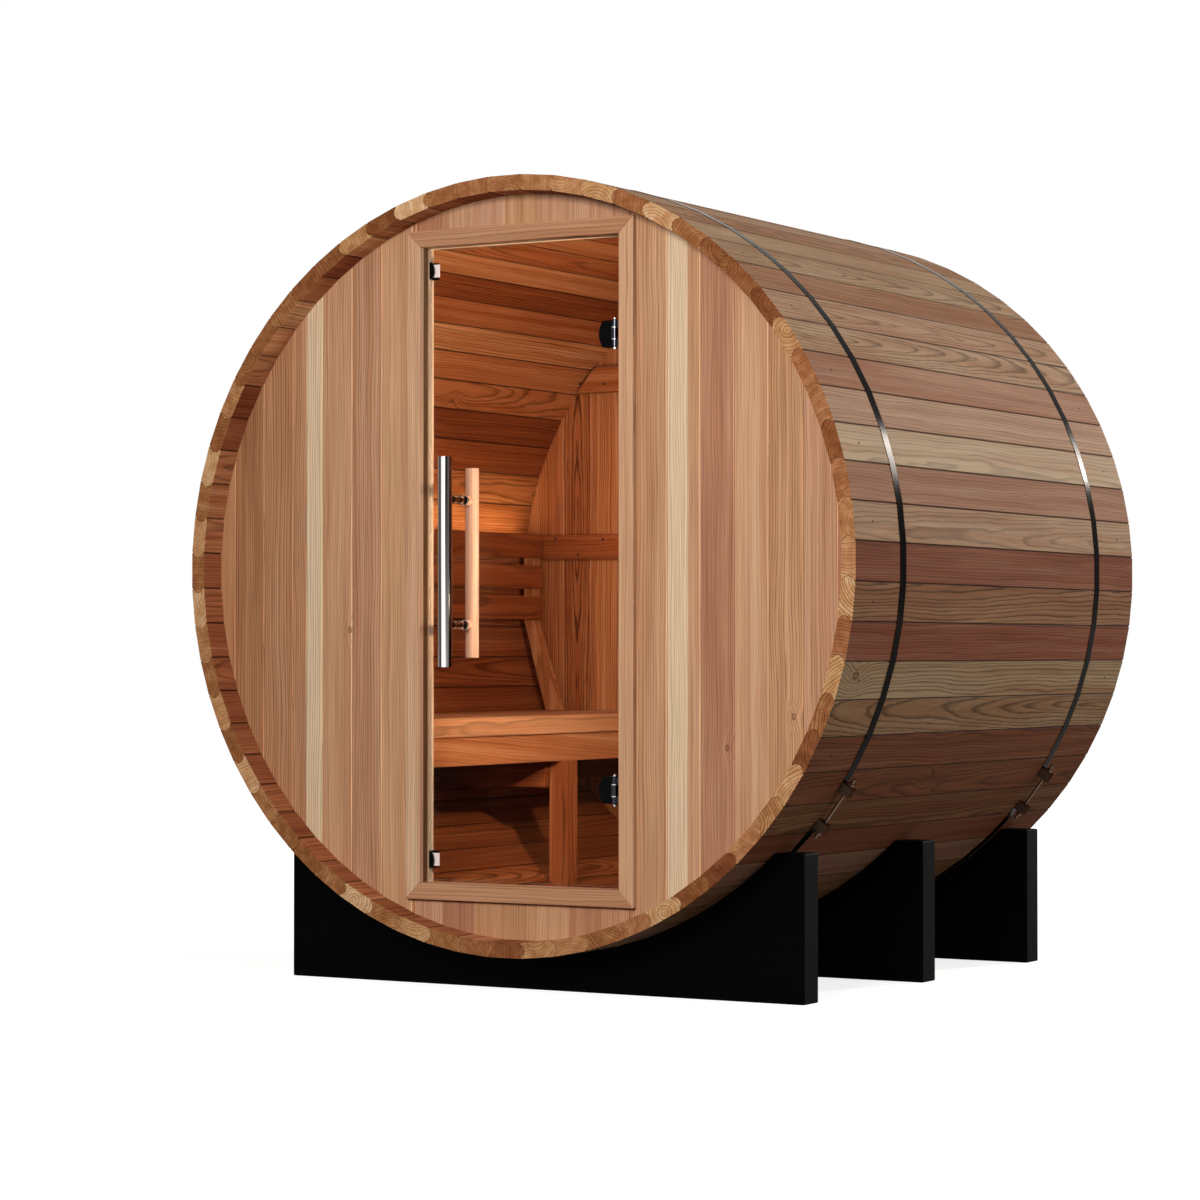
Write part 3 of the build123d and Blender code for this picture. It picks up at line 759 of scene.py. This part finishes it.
# Mirror-bright posts, flanges and ball ends
chrome = metal("polished_chrome", "#D6D5D4", "#E0E0E0", 0.05, 0.14, 12)
# Hinge barrels, glossy but dark
dark_chrome = metal("smoked_chrome", "#33353A", "#606060", 0.06, 0.16, 6)
# Bands, nearly black face-on, with a sharp pale streak where they turn to the light
band_steel = metal("browned_steel_band", "#0D0A08", "#C0C0C0", 0.12, 0.2, 30)
# Lugs and rods, brown and soft in gloss
lug_steel = metal("browned_steel_lugs", "#5A493D", "#6A5A4E", 0.25, 0.45, 8)
# Nail and screw heads, small dark dots
screw_steel = metal("zinc_screws", "#3A332D", "#3A332D", 0.3, 0.5, 3)
tube_steel = lined_tube_with_painted_reflection()
# Hinge clamps in satin black
black_paint = painted("black_painted_zinc", "#050505", 0.3, 1.5)
# Catches, covers and gaskets in matt black
black_plastic = painted("black_nylon", "#060606", 0.45, 1)
# Strike plates, a small pale square behind the glass
white_plastic = painted("white_nylon", "#F0DFD9", 0.5, 1)

# Clear glass that only mirrors at a slant, so that the inside shows
clear_glass, tree, shader = new_material("clear_tempered_glass")
shader.inputs["Base Color"].default_value = linear("#F4FAF8")
shader.inputs["Roughness"].default_value = 0
shader.inputs["IOR"].default_value = 1.5
shader.inputs["Transmission Weight"].default_value = 1
edge_on = add(tree, "ShaderNodeLayerWeight", {"Blend": 0.5})
slant = add(tree, "ShaderNodeMath", {0: edge_on.outputs["Facing"], 1: 5}, operation="POWER")
gloss = add(tree, "ShaderNodeMapRange",
            {"Value": slant.outputs[0], "To Min": pane_gloss[0], "To Max": pane_gloss[1]})
tree.links.new(gloss.outputs[0], shader.inputs["Alpha"])

# Ground glass edges gather the pane's green, so that its outline shows
glass_edge, tree, shader = new_material("ground_glass_edge")
place = add(tree, "ShaderNodeTexCoord").outputs["Object"]
grinding = add(tree, "ShaderNodeTexNoise", {"Vector": place, "Scale": 1 / grinding_width, "Detail": 2})
haze = add(tree, "ShaderNodeMapRange", {"Value": grinding.outputs["Fac"], "To Min": 0.2, "To Max": 0.5})
tree.links.new(haze.outputs[0], shader.inputs["Roughness"])
shader.inputs["Base Color"].default_value = linear("#7C8C7A")
shader.inputs["Alpha"].default_value = 0.5

# Frosted strip that shines upwards only, a warm glow on the stave above it
warm_light, tree, shader = new_material("frosted_light_strip")
shader.inputs["Base Color"].default_value = linear("#FFE3BC")
shader.inputs["Emission Color"].default_value = linear("#FFECBC")
upper = add(tree, "ShaderNodeSeparateXYZ", {0: add(tree, "ShaderNodeNewGeometry").outputs["Normal"]})
upward = add(tree, "ShaderNodeMapRange",
             {"Value": upper.outputs["Z"], "From Min": 0.4, "From Max": 0.6, "To Max": strip_strength})
tree.links.new(upward.outputs[0], shader.inputs["Emission Strength"])

node_finishes = {"handle_tube": tube_steel, "handle_posts": chrome, "hinge_clamps": black_paint,
                 "door_knuckles": dark_chrome, "frame_knuckles": dark_chrome, "strike_plates": white_plastic,
                 "catch_blocks": black_plastic, "light_strip": warm_light, "band_lugs": lug_steel,
                 "band_rods": lug_steel}
for node, material in node_finishes.items():
    mesh = frame["nodes"][node].data
    mesh.materials.clear()
    mesh.materials.append(material)


# Door glass with its edges ground and arrissed
bm = merged_copy("door_glass")
ease(bm, sharp_edges(bm), arris, segments=1)
bm.normal_update()
for face in bm.faces:
    face.material_index = int(abs(face.normal.y) < flat_facing)
finish_piece("door_pane", bm, (clear_glass, glass_edge), "door", "clear_glass", "door_glass")

# Bands, rolled smoothly round the staves
bm = merged_copy("bands")
smooth_turns(bm)
finish_piece("bands_rolled", bm, (band_steel,), "cabin", "steel_band", "bands")


# Small hardware and thin trim
def turned(bm, place, axis, profile, segments=24):
    """Spins a profile of (radius, distance) pairs, in mm, about an axis through a place."""
    axis = Vector(axis).normalized()
    side = axis.orthogonal().normalized()
    verts = [bm.verts.new(Vector(place) + side * (radius * MM) + axis * (distance * MM))
             for radius, distance in profile]
    edges = [bm.edges.new(pair) for pair in zip(verts, verts[1:])]
    bmesh.ops.spin(bm, geom=verts + edges, cent=place, axis=axis, angle=2 * math.pi, steps=segments,
                   use_merge=True)


def closed(bm):
    """Merges poles and seams, turns faces outwards and shades curves smooth."""
    bmesh.ops.remove_doubles(bm, verts=bm.verts, dist=merge_distance)
    bmesh.ops.recalc_face_normals(bm, faces=bm.faces)
    smooth_turns(bm)


def middles(node):
    """The middles of a node's separate solids."""
    bm = merged_copy(node)
    places = [middle_of(solid) for solid in islands(bm)]
    bm.free()
    return places


# Profiles to turn, as (radius, distance along the axis) in mm
ball_end = ((0, 37.6), (2.6, 37), (4.4, 34.5), (4.4, 32.5), (2.6, 30.4), (0, 30.2))
barrel_ring = ((6.8, 11.8), (8, 12.5), (8, 14.5), (6.8, 15.2), (6.8, 11.8))
gasket = ((0, 0), (11, 0), (11, 1), (10.6, 1.4), (0, 1.4))
flange = ((0, 0), (11.4, 0), (11.8, 0.6), (11.8, 4), (10.8, 5), (0, 5.2))
nail_head = ((2.6, -0.2), (2.6, 0.2), (1.6, 0.4), (0, 0.4))
screw_head = ((4, -0.5), (4, 0.3), (2.4, 0.9), (1, 0.4), (0, 0.4))

# Ball ends and rings on the hinge barrels
hinge = frame["record"]["behaviour"]["joints"][0]
hinge_place = Vector(hinge["pos_m"])
bm = bmesh.new()
for knuckle in middles("door_knuckles"):
    for side in (-1, 1):
        place = Vector((hinge_place.x, hinge_place.y, knuckle.z))
        turned(bm, place, up * side, ball_end, segments=16)
        turned(bm, place, up * side, barrel_ring, segments=20)
closed(bm)
finish_piece("hinge_ball_ends", bm, (chrome,), "cabin", "bright_metal")

# Gaskets before the glass, flanges behind it, and turned pegs between the flanges and the wooden bar
bar_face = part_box("handle_bar")[0].y
flange_depth = 5 * MM
peg_hold = 3 * MM
posts = middles("handle_posts")
bm = bmesh.new()
for post in posts:
    turned(bm, (post.x, glass_low.y, post.z), -along_y, gasket)
closed(bm)
finish_piece("handle_gaskets", bm, (black_plastic,), "door", "black_plastic")
bm = bmesh.new()
for post in posts:
    turned(bm, (post.x, glass_high.y, post.z), along_y, flange)
closed(bm)
finish_piece("handle_flanges", bm, (chrome,), "door", "bright_metal")
bm = bmesh.new()
for post in posts:
    start = Vector((post.x, glass_high.y + flange_depth, post.z))
    reach = (bar_face - start.y + peg_hold) / MM
    turned(bm, start, along_y,
           ((0, 0), (10.2, 0), (11, 1), (11, reach - 1), (10.2, reach), (0, reach)))
closed(bm)
give_grain(bm, grain_along("Y"), handle_look, seed=95)
finish_piece("handle_pegs", bm, (board_wood, board_ends), "door", "cedar_trim")

# Half-round catch covers on the front of the glass, clear of the jamb
cover_width, cover_half_height, cover_depth = 12 * MM, 21 * MM, 4 * MM
cover_edge = glass_low.x + 1 * MM
cover_rounding = 1 * MM
bm = bmesh.new()
for strike in middles("strike_plates"):
    place = Vector((cover_edge, glass_low.y, strike.z))
    cover = bmesh.ops.create_circle(bm, cap_ends=True, radius=1, segments=32)["verts"]
    stretch = Matrix.Diagonal((cover_width, 1, cover_half_height, 1))
    shape = Matrix.Translation(place) @ stretch @ Matrix.Rotation(math.pi / 2, 4, "X")
    bmesh.ops.transform(bm, matrix=shape, verts=cover)
everything = bm.verts[:] + bm.edges[:] + bm.faces[:]
bmesh.ops.bisect_plane(bm, geom=everything, plane_co=(cover_edge, 0, 0), plane_no=(-1, 0, 0),
                       clear_outer=True, dist=merge_distance)
raised = bmesh.ops.extrude_face_region(bm, geom=bm.faces[:])["geom"]
raised_verts = [item for item in raised if isinstance(item, bmesh.types.BMVert)]
bmesh.ops.translate(bm, vec=(0, -cover_depth, 0), verts=raised_verts)
closed(bm)
ease(bm, sharp_edges(bm), cover_rounding)
finish_piece("catch_covers", bm, (black_plastic,), "door", "black_plastic")

# Nails that hold every other stave to the end walls
bm = bmesh.new()
nail_places = (-0.697, 0.697)
for index in range(1, stave_count, 2):
    turn = index / stave_count * 2 * math.pi
    outward = Vector((math.sin(turn), 0, math.cos(turn)))
    for y in nail_places:
        place = barrel_axis + outward * stave_face + along_y * y
        turned(bm, place, outward, nail_head, segments=8)
closed(bm)
finish_piece("stave_nails", bm, (screw_steel,), "cabin", "steel_band")

# Screws in the cleats and brackets
cleat_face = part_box("back_wall_cleats")[0].y
screws = [(-0.668, 1.528), (-0.591, 1.525), (-0.747, 1.102), (-0.595, 1.098), (-0.674, 1.056),
          (-0.2, 1.1), (0.2, 1.06), (0.6, 1.1), (-0.2, 1.525), (0.2, 1.525), (0.591, 1.525)]
bm = bmesh.new()
for x, z in screws:
    turned(bm, (x, cleat_face, z), -along_y, screw_head, segments=12)
closed(bm)
finish_piece("cleat_screws", bm, (screw_steel,), "cabin", "bright_metal")


# Floor, light and camera
def shown_rays(tree):
    """1 for rays that show the background: to the camera, in gloss and through glass."""
    path = add(tree, "ShaderNodeLightPath")
    gloss = add(tree, "ShaderNodeMath", {0: path.outputs["Is Camera Ray"], 1: path.outputs["Is Glossy Ray"]},
                operation="MAXIMUM")
    return add(tree, "ShaderNodeMath", {0: gloss.outputs[0], 1: path.outputs["Is Transmission Ray"]},
               operation="MAXIMUM").outputs[0]


floor_reach = 40
shadow_reach = 1.6
near_glow, far_glow = 1.62, 1.95
dim_floor, pale_floor = 0.05, 0.95
floor_bm = bmesh.new()
bmesh.ops.create_grid(floor_bm, x_segments=1, y_segments=1, size=floor_reach)
floor_mesh = bpy.data.meshes.new("floor")
floor_bm.to_mesh(floor_mesh)
floor_bm.free()
floor = bpy.data.objects.new("floor", floor_mesh)
bpy.context.scene.collection.objects.link(floor)
floor_material = bpy.data.materials.new("pale_studio_floor")
floor_material.use_nodes = True
tree = floor_material.node_tree
tree.nodes.clear()
dim = add(tree, "ShaderNodeBsdfDiffuse", {"Color": grey(dim_floor)})
pale = add(tree, "ShaderNodeBsdfDiffuse", {"Color": grey(pale_floor)})
place = add(tree, "ShaderNodeTexCoord").outputs["Object"]
far = add(tree, "ShaderNodeVectorMath", {0: place}, operation="LENGTH")
glow = add(tree, "ShaderNodeMapRange",
           {"Value": far.outputs["Value"], "From Min": shadow_reach, "From Max": 3 * shadow_reach,
            "To Min": near_glow, "To Max": far_glow})
white = add(tree, "ShaderNodeEmission", {"Color": grey(1), "Strength": glow.outputs[0]})
soft = add(tree, "ShaderNodeMixShader", {0: 0.5, 1: pale.outputs[0], 2: white.outputs[0]})
seen = add(tree, "ShaderNodeMixShader", {0: shown_rays(tree), 1: dim.outputs[0], 2: soft.outputs[0]})
add(tree, "ShaderNodeOutputMaterial", {"Surface": seen.outputs[0]})
floor_mesh.materials.append(floor_material)

fill_strength = 0.26
scene = bpy.context.scene
scene.view_settings.view_transform = "Standard"
world = bpy.data.worlds.new("studio")
scene.world = world
world.use_nodes = True
tree = world.node_tree
tree.nodes.clear()
fill = add(tree, "ShaderNodeBackground", {"Color": linear("#F6F4F1"), "Strength": fill_strength})
backdrop = add(tree, "ShaderNodeBackground", {"Color": grey(1), "Strength": 1})
mixed = add(tree, "ShaderNodeMixShader", {0: shown_rays(tree), 1: fill.outputs[0], 2: backdrop.outputs[0]})
add(tree, "ShaderNodeOutputWorld", {"Surface": mixed.outputs[0]})


def area_lamp(name, place, target, size, power, code):
    """Adds a rectangular lamp at a place, turned to a target."""
    lamp = bpy.data.lights.new(name, "AREA")
    lamp.shape = "RECTANGLE"
    lamp.size, lamp.size_y = size
    lamp.energy = power
    lamp.color = linear(code)[:3]
    holder = bpy.data.objects.new(name, lamp)
    holder.location = place
    holder.rotation_euler = (Vector(target) - Vector(place)).to_track_quat("-Z", "Y").to_euler()
    holder.visible_camera = False
    scene.collection.objects.link(holder)


area_lamp("key_softbox", (1.4, -5.4, 2.3), (0, 0, 1), (1.3, 1.3), 228, "#FFFCF8")
area_lamp("side_softbox", (5, 0.4, 1.6), (0.9, 0, 1), (1.5, 1.5), 31, "#FFF6EA")
area_lamp("back_softbox", (3.76, 8.4, 3.8), (0.8, 0, 1.2), (0.9, 1.1), 600, "#FFFAF4")
area_lamp("cabin_lamp", (0.55, -0.645, 0.95), (-0.9, 0.1, 1.7), (0.1, 0.1), 17.5, "#FFE9D2")

# The photo's camera, solved from the end circles, the stave joints and the cradles
camera_place = (4.2188, -7.4331, 0.784)
lens_px = 3422.75
frame_px = 1200
azimuth = math.radians(30.82)
pitch = math.radians(0.893)
camera_data = bpy.data.cameras.new("photo_camera")
camera_data.sensor_width = 36
camera_data.lens = lens_px / frame_px * camera_data.sensor_width
camera = bpy.data.objects.new("photo_camera", camera_data)
camera.location = camera_place
level = math.cos(pitch)
forward = Vector((-math.sin(azimuth) * level, math.cos(azimuth) * level, math.sin(pitch)))
camera.rotation_euler = forward.to_track_quat("-Z", "Y").to_euler()
scene.collection.objects.link(camera)
scene.camera = camera
